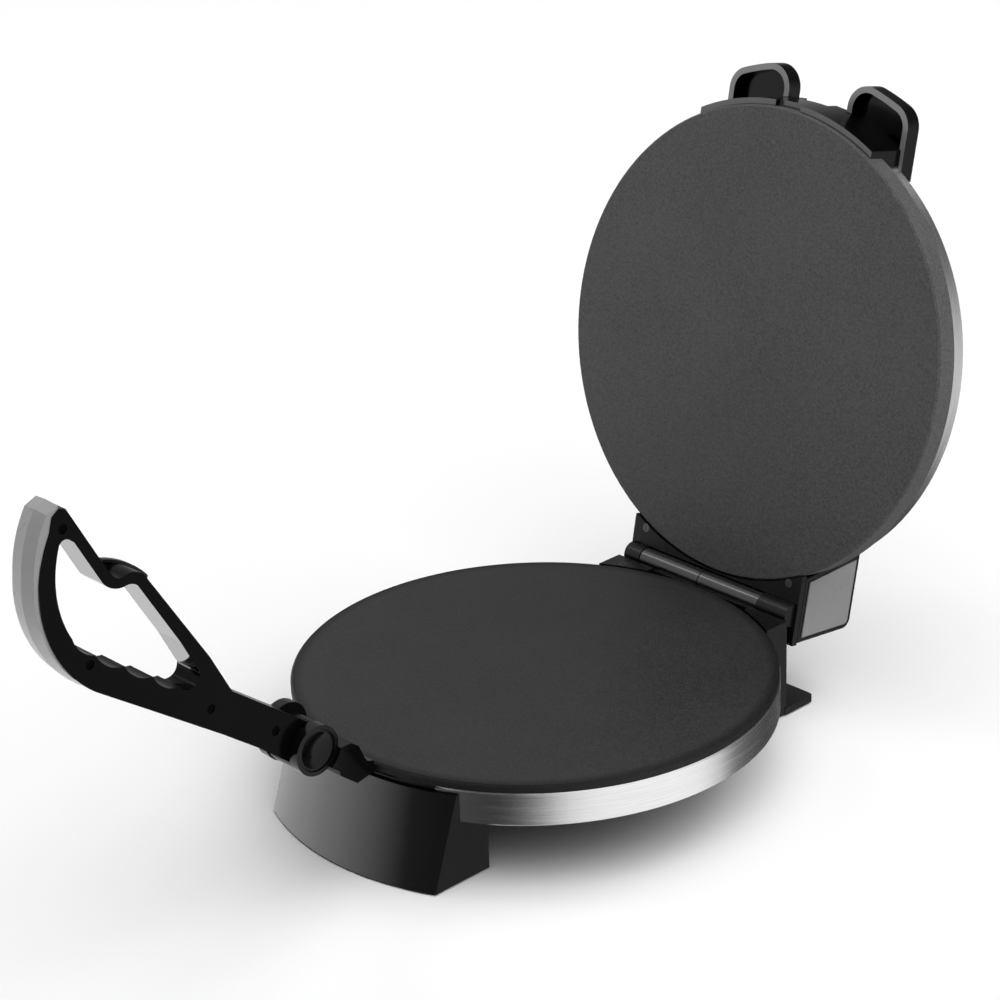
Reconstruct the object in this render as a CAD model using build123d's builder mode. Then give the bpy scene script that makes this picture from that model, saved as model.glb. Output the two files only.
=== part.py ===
from build123d import *
import os
from math import cos, radians, sin, sqrt

# Electric roti maker. Millimetres, +Z up, -Y is the front (lever side), +Y the rear (lid hinge).
# The origin is on the table under the middle of the lower hot plate. The lid stands open and the lever
# leans forward: that is the rest pose of both joints.

os.makedirs("parts", exist_ok=True)

# --- driving sizes -------------------------------------------------------------------------------
band_radius = 150.0
band_sheet = 0.8
band_lip = 4.0
band_edge_radius = 0.7
band_bottom_z = 40.0
band_height = 21.0
band_top_z = band_bottom_z + band_height
plate_inset = 0.7
plate_stand = 5.0
plate_thickness = 4.0
plate_edge_radius = 1.2
plate_rim_width = 6.0
plate_rim_slope = 1.0
lower_plate_radius = band_radius - plate_inset
plate_top_z = band_top_z + plate_stand
upper_plate_radius = band_radius
upper_plate_face_n = 2.2
upper_skirt = 14.1
upper_plate_back_n = upper_plate_face_n + upper_skirt
shell_inset = 4.3
shell_height = 16.3
shell_edge_radius = 2.0
shell_radius = upper_plate_radius - shell_inset
shell_top_n = upper_plate_back_n + shell_height
hinge_reach = 8.4
hinge_drop = 0.1
hinge_y = band_radius + hinge_reach
hinge_z = plate_top_z - hinge_drop
lid_open_angle = 102.5
pivot_reach = 39.2
pivot_rise = 23.5
pivot_y = -band_radius - pivot_reach
pivot_z = plate_top_z + pivot_rise
lever_lean_angle = 58.3
lever_half_width = 10.0
full_turn = 360.0

# --- clearances and fits -------------------------------------------------------------------------
running_fit = 0.05
slip_gap = 0.3
body_gap = 0.5
screw_fit = 0.1

# --- housing of the base -------------------------------------------------------------------------
drum_radius = band_radius - band_sheet - 2 * screw_fit
drum_wall = 3.0
drum_floor = 3.0
access_inset = 50.0
access_radius = band_radius - access_inset
cover_lap = 8.0
cover_radius = access_radius + cover_lap
cover_thickness = 2.5
cover_screw_ring = access_radius + cover_lap / 2
cover_screw_radius = 1.5
cover_screw_head_radius = 2.8
cover_screw_head_height = 1.5
cover_screw_depth = 5.0
vent_length = 26.0
vent_width = 3.5
vent_pitch = 12.0
vent_column_pitch = 40.0
vent_rows = 7

# --- posts, elements, reflectors -----------------------------------------------------------------
post_inset = 40.0
post_ring = band_radius - post_inset
post_radius = 6.0
post_shoulder_radius = 8.0
post_screw_radius = 2.0
post_screw_head_radius = 3.6
post_screw_head_height = 2.0
post_bite = 2.0
plate_post_length = 6.0
post_joint_z = plate_top_z - plate_thickness - plate_post_length
reflector_drop = 13.0
reflector_z = plate_top_z - plate_thickness - reflector_drop
reflector_inset = 12.0
reflector_radius = band_radius - reflector_inset
reflector_sheet = 0.8
upper_reflector_lift = 12.8
element_inset = 66.0
element_ring = band_radius - element_inset
element_tube_radius = 4.0
element_bed = 0.3
element_arc = 300.0
element_pin_radius = 1.2
element_pin_length = 9.0
clamp_sheet = 1.0
clamp_width = 8.0
clamp_gap = 0.6
clamp_foot = 6.0
control_radius = 8.0
control_height = 7.0
control_flange = 12.0
control_flange_height = 1.0
control_tab_width = 6.0
control_tab_height = 4.0
control_x = 30.0
block_length = 30.0
block_width = 12.0
block_inset = 25.0
block_height = 5.0
block_bore = 2.0

# --- feet ----------------------------------------------------------------------------------------
foot_lift = 1.0
foot_wall = 3.0
front_foot_half = 72.0
front_foot_drop = 3.0
front_foot_lap = 1.9
front_foot_flare = 17.1
front_foot_inset = 40.0
front_foot_top_z = band_top_z - front_foot_drop
front_foot_top_radius = band_radius + front_foot_lap
front_foot_toe_radius = front_foot_top_radius + front_foot_flare
front_foot_back_y = front_foot_inset - band_radius
rear_foot_half = 73.0
rear_foot_inset = 0.5
rear_foot_depth = 37.5
rear_foot_rise = 0.2
rear_foot_face_y = band_radius - rear_foot_inset
rear_foot_front_y = rear_foot_face_y - rear_foot_depth
rear_foot_top_z = plate_top_z + rear_foot_rise
rear_foot_horn = 42.0
lug_overhang = 1.0
lug_reach = 22.0
lug_height = 4.5
lug_corner = 3.0
lug_outer = rear_foot_half + lug_overhang
lug_back_y = rear_foot_face_y + lug_reach
lug_top_z = foot_lift + lug_height
stop_half = 12.0
stop_drop = 15.9
stop_height = 8.0
stop_gap = 3.55
stop_top_z = hinge_z - stop_drop
stop_bottom_z = stop_top_z - stop_height
stop_face_y = hinge_y - stop_gap
pad_radius = 8.0
pad_height = 3.0
pad_side_inset = 16.0
pad_front_inset = 16.0
rear_pad_inset = 13.0
front_pad_x = front_foot_half - pad_side_inset
front_pad_y = front_foot_back_y - pad_front_inset
rear_pad_x = rear_foot_half - rear_pad_inset
rear_pad_y = rear_foot_face_y + lug_reach / 2
inlet_x = -30.0
inlet_z = 24.0
inlet_radius = 6.0
inlet_flange = 9.0
inlet_flange_height = 2.0
inlet_bore = 3.4

# --- hinge ---------------------------------------------------------------------------------------
barrel_radius = 7.0
barrel_left_end = -56.4
barrel_split = -5.75
barrel_right_end = 44.9
barrel_ring = 0.7
barrel_tab_drop = 6.4
barrel_tab_height = 5.0
barrel_tab_bottom_z = hinge_z - barrel_tab_drop
barrel_tab_top_z = barrel_tab_bottom_z + barrel_tab_height
pin_radius = 3.0
pin_left_end = -69.0
pin_right_end = 69.0
knuckle_radius = 7.5
knuckle_cover = 0.9
knuckle_left = pin_left_end - knuckle_cover
knuckle_right = pin_right_end + knuckle_cover
knuckle_gap = 0.5
base_screw_x = 60.9
base_screw_inset = 9.2
base_screw_y = rear_foot_face_y - base_screw_inset
lid_screw_x = 61.8
lid_screw_rim = 2.6
lid_screw_y = sqrt((upper_plate_radius + lid_screw_rim) ** 2 - lid_screw_x**2)
hinge_screw_radius = 1.6
hinge_screw_head = 2.8
hinge_screw_head_height = 0.6
hinge_screw_sink = 0.5
hinge_screw_depth = 9.0
cross_length = 1.3
cross_width = 0.28

# --- lid -----------------------------------------------------------------------------------------
bracket_half = 72.0
bracket_reach_front = 25.9
bracket_reach_rear = 19.9
bracket_front = hinge_y - bracket_reach_front
bracket_rear = hinge_y + bracket_reach_rear
bracket_bottom_n = 1.2
bracket_plate = 4.5
bracket_top_n = bracket_bottom_n + bracket_plate
barrel_room = 0.8
channel_radius = barrel_radius + barrel_room
channel_wall = 3.2
channel_roof_n = channel_radius + channel_wall
housing_wall = 3.0
housing_side_wall = 2.0
rear_housing_lap = 0.2
rear_housing_half = bracket_half + rear_housing_lap
rear_housing_rise = 23.0
rear_housing_top_n = shell_top_n + rear_housing_rise
rear_low_front = 24.2
rear_low_back = 18.3
rear_high_front = 35.4
rear_high_back = 6.6
rear_crown_back = 14.3
rear_crown_drop = 5.3
rear_crown_bulge = 1.9
rear_hollow_front = 20.5
rear_hollow_back = 14.5
rear_hollow_height = 30.0
crown_hollow_front = 28.0
crown_hollow_back = 10.0
crown_hollow_height = 17.0
panel_sheet = 0.8
panel_border = 3.2
front_wall = 3.7
front_wall_inner = upper_plate_radius + slip_gap
front_wall_outer = front_wall_inner + front_wall
front_housing_half = 70.0
front_lip_n = 5.0
front_step_n = upper_plate_back_n + body_gap
front_deck = 4.4
front_top_n = shell_top_n + front_deck
front_deck_depth = 27.7
front_back_y = front_deck_depth - shell_radius
front_notch_half = 10.0
front_notch_height = 4.0
arm_channel_half = 12.0
arm_channel_depth = 10.0
arm_channel_run = 16.5
arm_channel_out = 2.0
ear_inner = 24.0
ear_outer = 73.0
ear_reach = 21.5
ear_radius = front_wall_outer + ear_reach
ear_corner = 15.0
ear_rise = 7.0
ear_deck = 3.5
ear_height = 11.0
ear_top_n = front_top_n + ear_rise
ear_under_n = ear_top_n - ear_deck
ear_lip_n = ear_top_n - ear_height
ear_lip = 4.0
spine_half = 16.0
spine_rise = 13.4
spine_slope = 12.0
spine_back = 37.4
spine_tail_high = 35.8
spine_tail_low = 31.7
spine_tail_rise = 4.0
spine_top_n = shell_top_n + spine_rise
spine_front_y = front_back_y + 5 * slip_gap
boss_half = 8.5
boss_length = 28.0
boss_reach = 141.2
boss_height = 7.3
boss_corner = 3.0
boss_front_y = pivot_y + boss_reach
boss_rear_y = boss_front_y + boss_length
boss_top_n = spine_top_n + boss_height
lens_radius = 3.5
lens_height = 1.5
lens_x = 14.0
lens_inset = 12.0

# --- lever bracket: y and z from the lever pivot ---------------------------------------------------
ear_disc_radius = 15.5
ear_disc_inner = 10.5
ear_disc_outer = 17.6
ear_disc_recess = 12.9
ear_disc_recess_depth = 5.0
shoulder_radius = 14.5
shoulder_back = 2.0
shoulder_rise = 5.0
neck_half = 20.0
neck_chin = (6.2, -12.3)
neck_throat = (13.6, -18.1)
neck_step = (13.8, -20.9)
neck_foot = (26.2, -30.8)
neck_saddle = (34.4, -19.5)
neck_crown = (32.6, -16.5)
neck_shoulder = (28.7, -7.5)
neck_top = (23.2, -3.5)
neck_brow = (13.0, -3.1)
neck_ledge = 2.4
neck_heel_reach = 4.0
root_half = 18.0
root_length = 12.0
root_height = 14.4
root_drop = 0.6
root_nose = 2.0
root_setback = 1.0
root_top_z = band_top_z - root_drop
root_bottom_z = root_top_z - root_height
root_nose_y = -band_radius - root_nose
root_front_y = root_setback - band_radius
root_back_y = root_length - band_radius
neck_heel_y = -band_radius - neck_heel_reach
neck_back_y = screw_fit - band_radius
slot_radius = 20.4
pivot_pin_radius = 4.0
bush_radius = 6.0
cap_radius = 12.4
cap_thickness = 4.2
cap_rim = 1.2
cap_dish_depth = 3.2

# --- lever: u up the lever from the pivot, w towards its grip side ---------------------------------
shell_wall = 2.4
lever_end_radius = 14.8
hub_boss_radius = 9.0
lever_screw_hole = 2.9
lever_screw_head = 2.6
lever_screw_recess = 1.6
lever_boss_radius = 4.4
tip_screw = (241.6, 31.8)
grip_screw = (167.0, 67.2)
root_screw = (78.3, 30.8)
hub_screw = (28.6, 9.8)
cusp_count = 4
cusp_start = (106.5, 36.4)
cusp_step = (20.53, 8.3)
scallop_depth = 3.2
strip_half = 9.4
strip_drop = 1.3
cam_depth = 3.6
cam_web = 1.2

# --- planes --------------------------------------------------------------------------------------
lid_cos = cos(radians(lid_open_angle))
lid_sin = sin(radians(lid_open_angle))
lid_centre_y = hinge_y - hinge_y * lid_cos
lid_centre_z = hinge_z + hinge_y * lid_sin
lid_plane = Plane(
    origin=(0, lid_centre_y, lid_centre_z), x_dir=(1, 0, 0), z_dir=(0, lid_sin, lid_cos)
)
lean_cos = cos(radians(lever_lean_angle))
lean_sin = sin(radians(lever_lean_angle))


def lid_side(x):
    """Plane square to the hinge at x: across is y from the lid's middle, up is away from the plate."""
    return Plane(
        origin=(x, lid_centre_y, lid_centre_z), x_dir=(0, lid_cos, -lid_sin), z_dir=(1, 0, 0)
    )


def lever_side(x):
    """Plane square to the lever pivot at x: across runs up the lever, up points to its grip side."""
    return Plane(
        origin=(x, pivot_y, pivot_z), x_dir=(0, -lean_cos, lean_sin), z_dir=(1, 0, 0)
    )


def base_side(x):
    """Plane square to the hinge at x, with y across and z up."""
    return Plane.YZ.offset(x)


def save(piece, name):
    piece.part.label = name
    export_step(piece.part, "parts/" + name + ".step")


# =================================================================================================
# Base
# =================================================================================================
lip_inner = band_radius - band_lip
drum_wall_bottom = band_bottom_z + band_sheet
drum_wall_top = band_top_z - band_sheet
drum_inner = drum_radius - drum_wall
rear_cut_half = rear_foot_half + slip_gap
rear_cut_y = sqrt(drum_inner**2 - rear_cut_half**2)
front_cut_half = root_half + slip_gap

with BuildPart() as base_housing:
    with BuildSketch(Plane.XZ):
        with BuildLine():
            Polyline(
                (access_radius, band_bottom_z),
                (lip_inner - slip_gap, band_bottom_z),
                (lip_inner - slip_gap, drum_wall_bottom),
                (drum_radius, drum_wall_bottom),
                (drum_radius, drum_wall_top),
                (drum_inner, drum_wall_top),
                (drum_inner, band_bottom_z + drum_floor),
                (access_radius, band_bottom_z + drum_floor),
                close=True,
            )
        make_face()
    revolve(axis=Axis.Z)
    # four posts that carry the hot plate, each with a shoulder for the reflector
    with BuildSketch(Plane.XY.offset(band_bottom_z)):
        with PolarLocations(post_ring, 4, 45):
            Circle(post_shoulder_radius)
    extrude(amount=reflector_z - band_bottom_z)
    with BuildSketch(Plane.XY.offset(reflector_z)):
        with PolarLocations(post_ring, 4, 45):
            Circle(post_radius)
    extrude(amount=post_joint_z - reflector_z)
    with BuildSketch(Plane.XY.offset(band_bottom_z)):
        with PolarLocations(post_ring, 4, 45):
            Circle(post_screw_radius + screw_fit)
        with PolarLocations(cover_screw_ring, 4):
            Circle(cover_screw_radius + screw_fit)
    extrude(amount=band_top_z - band_bottom_z, mode=Mode.SUBTRACT)
    # the rear foot closes the wall behind, the lever bracket enters in front
    with BuildSketch(Plane.XY.offset(band_bottom_z)):
        with Locations((0, rear_cut_y)):
            Rectangle(2 * rear_cut_half, band_radius, align=(Align.CENTER, Align.MIN))
    extrude(amount=band_top_z, mode=Mode.SUBTRACT)
    with BuildSketch(Plane.XY.offset(root_bottom_z - slip_gap)):
        with Locations((0, -band_radius)):
            Rectangle(2 * front_cut_half, 4 * drum_wall)
    extrude(amount=band_top_z, mode=Mode.SUBTRACT)
save(base_housing, "base_housing")

with BuildPart() as base_cover:
    with BuildSketch(Plane.XY.offset(band_bottom_z - cover_thickness)):
        Circle(cover_radius)
        with PolarLocations(cover_screw_ring, 4):
            Circle(cover_screw_radius + screw_fit, mode=Mode.SUBTRACT)
        with GridLocations(vent_column_pitch, vent_pitch, 3, vent_rows):
            SlotOverall(vent_length, vent_width, mode=Mode.SUBTRACT)
    extrude(amount=cover_thickness)
    # the corners of the cover give way to the posts' screw heads
    with BuildSketch(Plane.XY.offset(band_bottom_z - cover_thickness)):
        with PolarLocations(post_ring, 4, 45):
            Circle(post_screw_head_radius + body_gap)
    extrude(amount=cover_thickness, mode=Mode.SUBTRACT)
    # and its front and rear edges to the feet
    with BuildSketch(Plane.XY.offset(band_bottom_z - cover_thickness)):
        with Locations((0, rear_foot_front_y), (0, front_foot_back_y)):
            Rectangle(2 * rear_foot_half, 2 * drum_wall)
    extrude(amount=cover_thickness, mode=Mode.SUBTRACT)
save(base_cover, "base_bottom_cover")

with BuildPart() as cover_screws:
    with BuildSketch(Plane.XY.offset(band_bottom_z - cover_thickness)):
        with PolarLocations(cover_screw_ring, 4):
            Circle(cover_screw_radius)
    extrude(amount=cover_screw_depth)
    with BuildSketch(Plane.XY.offset(band_bottom_z - cover_thickness)):
        with PolarLocations(cover_screw_ring, 4):
            Circle(cover_screw_head_radius)
    extrude(amount=-cover_screw_head_height)
save(cover_screws, "base_cover_screws")

with BuildPart() as base_band:
    with BuildSketch(Plane.XZ):
        with BuildLine():
            Polyline(
                (lip_inner, band_bottom_z),
                (band_radius - band_edge_radius, band_bottom_z),
                (band_radius, band_bottom_z + band_edge_radius),
                (band_radius, band_top_z - band_edge_radius),
                (band_radius - band_edge_radius, band_top_z),
                (lip_inner, band_top_z),
                (lip_inner, drum_wall_top),
                (band_radius - band_sheet, drum_wall_top),
                (band_radius - band_sheet, drum_wall_bottom),
                (lip_inner, drum_wall_bottom),
                close=True,
            )
        make_face()
    revolve(axis=Axis.Z)
    with BuildSketch(Plane.XY.offset(band_bottom_z - band_sheet)):
        with Locations((0, rear_cut_y)):
            Rectangle(2 * rear_cut_half, band_radius, align=(Align.CENTER, Align.MIN))
    extrude(amount=band_top_z, mode=Mode.SUBTRACT)
    with BuildSketch(Plane.XY.offset(root_bottom_z - slip_gap)):
        with Locations((0, -band_radius)):
            Rectangle(2 * front_cut_half, 4 * drum_wall)
    extrude(amount=band_top_z, mode=Mode.SUBTRACT)
save(base_band, "base_steel_band")

plate_under_z = plate_top_z - plate_thickness
plate_rim_inner = lower_plate_radius - plate_rim_width
with BuildPart() as lower_plate:
    with BuildSketch(Plane.XZ):
        with BuildLine():
            Polyline(
                (0, plate_under_z),
                (plate_rim_inner - plate_rim_slope, plate_under_z),
                (plate_rim_inner, band_top_z),
                (lower_plate_radius, band_top_z),
                (lower_plate_radius, plate_top_z - plate_edge_radius),
                (lower_plate_radius - plate_edge_radius, plate_top_z),
                (0, plate_top_z),
                close=True,
            )
        make_face()
    revolve(axis=Axis.Z)
    with BuildSketch(Plane.XY.offset(post_joint_z)):
        with PolarLocations(post_ring, 4, 45):
            Circle(post_radius)
    extrude(amount=plate_under_z - post_joint_z)
    with BuildSketch(Plane.XY.offset(post_joint_z)):
        with PolarLocations(post_ring, 4, 45):
            Circle(post_screw_radius + running_fit)
    extrude(amount=plate_under_z - post_joint_z + post_bite, mode=Mode.SUBTRACT)
save(lower_plate, "lower_hot_plate")

with BuildPart() as lower_plate_screws:
    with BuildSketch(Plane.XY.offset(band_bottom_z)):
        with PolarLocations(post_ring, 4, 45):
            Circle(post_screw_radius)
    extrude(amount=plate_under_z - band_bottom_z)
    with BuildSketch(Plane.XY.offset(band_bottom_z)):
        with PolarLocations(post_ring, 4, 45):
            Circle(post_screw_head_radius)
    extrude(amount=-post_screw_head_height)
save(lower_plate_screws, "lower_plate_screws")


def heating_element(plane, tube_offset, away):
    """A horseshoe of sheathed tube bedded flat on the back of a plate, with its two cold pins."""
    start = (full_turn - element_arc) / 2 - full_turn / 4
    with BuildPart(plane) as element:
        with BuildLine(plane.offset(tube_offset)) as path:
            CenterArc((0, 0), element_ring, start, element_arc)
        with BuildSketch(Plane(origin=path.line @ 0, z_dir=path.line % 0)):
            Circle(element_tube_radius)
        sweep()
        for end in (0, 1):
            with BuildSketch(Plane(origin=path.line @ end, z_dir=path.line % end)):
                Circle(element_pin_radius)
            extrude(amount=element_pin_length, both=True)
        with BuildSketch(plane.offset(tube_offset - away * (element_tube_radius - element_bed))):
            Circle(element_ring + 4 * element_tube_radius)
        extrude(amount=-away * element_tube_radius, mode=Mode.SUBTRACT)
    return element


def element_clamps(plane, back, away):
    """Three U straps that hold the tube against the back of a plate."""
    depth = 2 * element_tube_radius - element_bed + clamp_sheet
    span = 2 * (element_tube_radius + clamp_gap)
    with BuildPart() as clamps:
        with BuildSketch(plane.offset(back)):
            with PolarLocations(element_ring, 3, 90):
                Rectangle(span + 2 * clamp_sheet + 2 * clamp_foot, clamp_width)
        extrude(amount=away * depth)
        with BuildSketch(plane.offset(back + away * clamp_sheet)):
            with PolarLocations(element_ring + span / 2 + clamp_sheet + clamp_foot, 3, 90):
                Rectangle(2 * clamp_foot, 2 * clamp_width)
            with PolarLocations(element_ring - span / 2 - clamp_sheet - clamp_foot, 3, 90):
                Rectangle(2 * clamp_foot, 2 * clamp_width)
        extrude(amount=away * depth, mode=Mode.SUBTRACT)
        with BuildSketch(plane.offset(back)):
            with PolarLocations(element_ring, 3, 90):
                Rectangle(span, 2 * clamp_width)
        extrude(amount=away * (depth - clamp_sheet), mode=Mode.SUBTRACT)
    return clamps


lower_tube_z = plate_under_z - element_tube_radius + element_bed
lower_element = heating_element(Plane.XY, lower_tube_z, -1)
save(lower_element, "lower_heating_element")
save(element_clamps(Plane.XY, plate_under_z, -1), "lower_element_clamps")

with BuildPart() as lower_reflector:
    with BuildSketch(Plane.XY.offset(reflector_z)):
        Circle(reflector_radius)
        with PolarLocations(post_ring, 4, 45):
            Circle(post_radius + slip_gap, mode=Mode.SUBTRACT)
        with Locations((0, -band_radius)):
            Rectangle(2 * neck_half, 2 * root_length + band_lip, mode=Mode.SUBTRACT)
    extrude(amount=reflector_sheet)
save(lower_reflector, "lower_reflector")


def thermostat(plane, back, away):
    """A disc thermostat with its flange flat against a plate and two blade terminals behind."""
    with BuildPart() as control:
        with BuildSketch(plane.offset(back)):
            with Locations((control_x, 0)):
                Circle(control_flange)
        extrude(amount=away * control_flange_height)
        with BuildSketch(plane.offset(back)):
            with Locations((control_x, 0)):
                Circle(control_radius)
        extrude(amount=away * control_height)
        with BuildSketch(plane.offset(back + away * control_height)):
            with Locations((control_x, control_radius / 2), (control_x, -control_radius / 2)):
                Rectangle(control_tab_width, band_sheet)
        extrude(amount=away * control_tab_height)
    return control


def thermal_fuse(plane, back, away):
    """A one-shot cut-out: a small can in a strap, flat against a plate."""
    with BuildPart() as fuse:
        with BuildSketch(plane.offset(back)):
            with Locations((-control_x, 0)):
                Rectangle(2 * control_radius, control_radius)
        extrude(amount=away * control_radius / 2)
        with BuildSketch(plane.offset(back)):
            with Locations((-control_x, 0)):
                Rectangle(2 * control_flange, control_radius / 2)
        extrude(amount=away * control_flange_height)
    return fuse


save(thermostat(Plane.XY, plate_under_z, -1), "lower_thermostat")
save(thermal_fuse(Plane.XY, plate_under_z, -1), "lower_thermal_fuse")

with BuildPart() as terminal_block:
    with BuildSketch(Plane.XY.offset(band_bottom_z + drum_floor)):
        with Locations((block_inset - band_radius, 0)):
            Rectangle(block_width, block_length)
            with GridLocations(block_width, block_length / 3, 1, 3):
                Circle(block_bore, mode=Mode.SUBTRACT)
    extrude(amount=block_height)
save(terminal_block, "terminal_block")

# --- front foot: a leaning shield over the band with a hollow plinth under the drum --------------
toe_slope = (front_foot_toe_radius - front_foot_top_radius) / (front_foot_top_z - foot_lift)
wall_run = foot_wall * sqrt(1 + toe_slope * toe_slope)
shield_inner = band_radius + slip_gap
toe_inner = front_foot_toe_radius - wall_run
under_inner = toe_inner - toe_slope * (band_bottom_z - foot_wall - foot_lift)
foot_depth = front_foot_toe_radius + front_foot_back_y
foot_mid_y = (front_foot_back_y - front_foot_toe_radius) / 2
with BuildPart() as front_foot:
    with BuildSketch(Plane.XZ):
        with BuildLine():
            Polyline(
                (0, foot_lift),
                (front_foot_toe_radius, foot_lift),
                (front_foot_top_radius, front_foot_top_z),
                (shield_inner, front_foot_top_z),
                (shield_inner, band_bottom_z),
                (0, band_bottom_z),
                close=True,
            )
        make_face()
    revolve(axis=Axis.Z)
    with BuildSketch(Plane.XY):
        with Locations((0, foot_mid_y - foot_depth / 2)):
            Rectangle(2 * front_foot_half, 2 * foot_depth)
    extrude(amount=band_top_z, mode=Mode.INTERSECT)
    with BuildPart(mode=Mode.PRIVATE) as plinth_hollow:
        with BuildSketch(Plane.XZ):
            with BuildLine():
                Polyline(
                    (0, 0),
                    (toe_inner, 0),
                    (toe_inner, foot_lift),
                    (under_inner, band_bottom_z - foot_wall),
                    (0, band_bottom_z - foot_wall),
                    close=True,
                )
            make_face()
        revolve(axis=Axis.Z)
        with BuildSketch(Plane.XY):
            with Locations((0, foot_mid_y - foot_depth / 2)):
                Rectangle(2 * (front_foot_half - foot_wall), 2 * (foot_depth - foot_wall))
        extrude(amount=band_top_z, mode=Mode.INTERSECT)
    add(plinth_hollow.part, mode=Mode.SUBTRACT)
    # screws of the drum floor pass through the top of the plinth; pads sit on short posts
    with BuildSketch(Plane.XY.offset(foot_lift)):
        with Locations((-front_pad_x, front_pad_y), (front_pad_x, front_pad_y)):
            Circle(pad_radius)
    extrude(amount=band_bottom_z - foot_wall - foot_lift)
    with BuildSketch(Plane.XY):
        with Locations((-front_pad_x, front_pad_y), (front_pad_x, front_pad_y)):
            Circle(pad_radius - foot_wall / 2)
    extrude(amount=pad_height, mode=Mode.SUBTRACT)
save(front_foot, "front_foot")

# --- rear foot: closes the back of the drum and carries the hinge ---------------------------------
rear_mid_y = (rear_foot_front_y + rear_foot_face_y) / 2
rear_depth = rear_foot_face_y - rear_foot_front_y
plate_clear_radius = band_radius + slip_gap
with BuildPart() as rear_foot:
    with BuildSketch(Plane.XY.offset(foot_lift)):
        with Locations((0, rear_mid_y)):
            Rectangle(2 * rear_foot_half, rear_depth)
    extrude(amount=rear_foot_top_z - foot_lift)
    with BuildSketch(Plane.XY.offset(band_bottom_z)):
        Circle(lip_inner)
    extrude(amount=band_top_z, mode=Mode.SUBTRACT)
    with BuildSketch(Plane.XY.offset(drum_wall_top)):
        Circle(lower_plate_radius + body_gap)
        with Locations((0, band_radius)):
            Rectangle(2 * rear_foot_horn, band_radius / 2)
    extrude(amount=band_top_z, mode=Mode.SUBTRACT)
    with BuildSketch(Plane.XY):
        with Locations((0, rear_mid_y)):
            Rectangle(2 * (rear_foot_half - foot_wall), rear_depth - 2 * foot_wall)
    extrude(amount=band_bottom_z - foot_wall, mode=Mode.SUBTRACT)
    with BuildSketch(Plane.XY.offset(foot_lift)):
        with Locations((0, (rear_foot_face_y + lug_back_y) / 2)):
            RectangleRounded(
                2 * lug_outer, lug_back_y - rear_foot_face_y + 2 * lug_corner, lug_corner
            )
    extrude(amount=lug_top_z - foot_lift)
    with BuildSketch(Plane.XY):
        with Locations((-rear_pad_x, rear_pad_y), (rear_pad_x, rear_pad_y)):
            Circle(pad_radius - foot_wall / 2)
    extrude(amount=pad_height, mode=Mode.SUBTRACT)
    # lid stop
    with BuildSketch(Plane.XY.offset(stop_bottom_z)):
        with Locations((0, (rear_foot_face_y + stop_face_y) / 2 - foot_wall / 2)):
            Rectangle(2 * stop_half, stop_face_y - rear_foot_face_y + foot_wall)
    extrude(amount=stop_top_z - stop_bottom_z)
    # pilot holes of the hinge screws
    with BuildSketch(Plane.XY.offset(rear_foot_top_z)):
        with Locations((-base_screw_x, base_screw_y), (base_screw_x, base_screw_y)):
            Circle(hinge_screw_radius + screw_fit)
    extrude(amount=-hinge_screw_sink - hinge_screw_depth, mode=Mode.SUBTRACT)
    with BuildSketch(Plane.XY.offset(rear_foot_top_z)):
        with Locations((-base_screw_x, base_screw_y), (base_screw_x, base_screw_y)):
            Circle(hinge_screw_head + slip_gap)
    extrude(amount=-hinge_screw_sink, mode=Mode.SUBTRACT)
    # hole of the cord gland
    with BuildSketch(Plane.XZ.offset(-rear_foot_face_y)):
        with Locations((inlet_x, inlet_z)):
            Circle(inlet_radius + screw_fit)
    extrude(amount=2 * foot_wall, mode=Mode.SUBTRACT)
save(rear_foot, "rear_foot")

with BuildPart() as rubber_pads:
    with BuildSketch(Plane.XY):
        with Locations(
            (-front_pad_x, front_pad_y),
            (front_pad_x, front_pad_y),
            (-rear_pad_x, rear_pad_y),
            (rear_pad_x, rear_pad_y),
        ):
            Circle(pad_radius - foot_wall / 2 - screw_fit)
    extrude(amount=pad_height)
save(rubber_pads, "rubber_pads")

with BuildPart() as cord_inlet:
    with BuildSketch(Plane.XZ.offset(-rear_foot_face_y)):
        with Locations((inlet_x, inlet_z)):
            Circle(inlet_flange)
            Circle(inlet_bore, mode=Mode.SUBTRACT)
    extrude(amount=-inlet_flange_height)
    with BuildSketch(Plane.XZ.offset(-rear_foot_face_y)):
        with Locations((inlet_x, inlet_z)):
            Circle(inlet_radius)
            Circle(inlet_bore, mode=Mode.SUBTRACT)
    extrude(amount=foot_wall + inlet_flange_height)
save(cord_inlet, "cord_inlet")


def screw_cross(head_radius):
    """Cross recess in the top of a screw head at the current locations."""
    Rectangle(cross_length * head_radius, cross_width * head_radius)
    Rectangle(cross_width * head_radius, cross_length * head_radius)


def sunk_screws(plane, outward, spot_x, spot_y):
    """A pair of screws whose heads lie in a counterbore; the plane is the bottom of the counterbore."""
    with BuildPart() as screws:
        with BuildSketch(plane):
            with Locations((-spot_x, spot_y), (spot_x, spot_y)):
                Circle(hinge_screw_radius)
        extrude(amount=-outward * hinge_screw_depth)
        with BuildSketch(plane):
            with Locations((-spot_x, spot_y), (spot_x, spot_y)):
                Circle(hinge_screw_head)
        extrude(amount=outward * hinge_screw_head_height)
        with BuildSketch(plane.offset(outward * hinge_screw_head_height / 2)):
            with Locations((-spot_x, spot_y), (spot_x, spot_y)):
                screw_cross(hinge_screw_head)
        extrude(amount=outward * hinge_screw_head_height, mode=Mode.SUBTRACT)
    return screws


base_screw_plane = Plane.XY.offset(rear_foot_top_z - hinge_screw_sink)
save(sunk_screws(base_screw_plane, 1, base_screw_x, base_screw_y), "base_hinge_screws")


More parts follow.
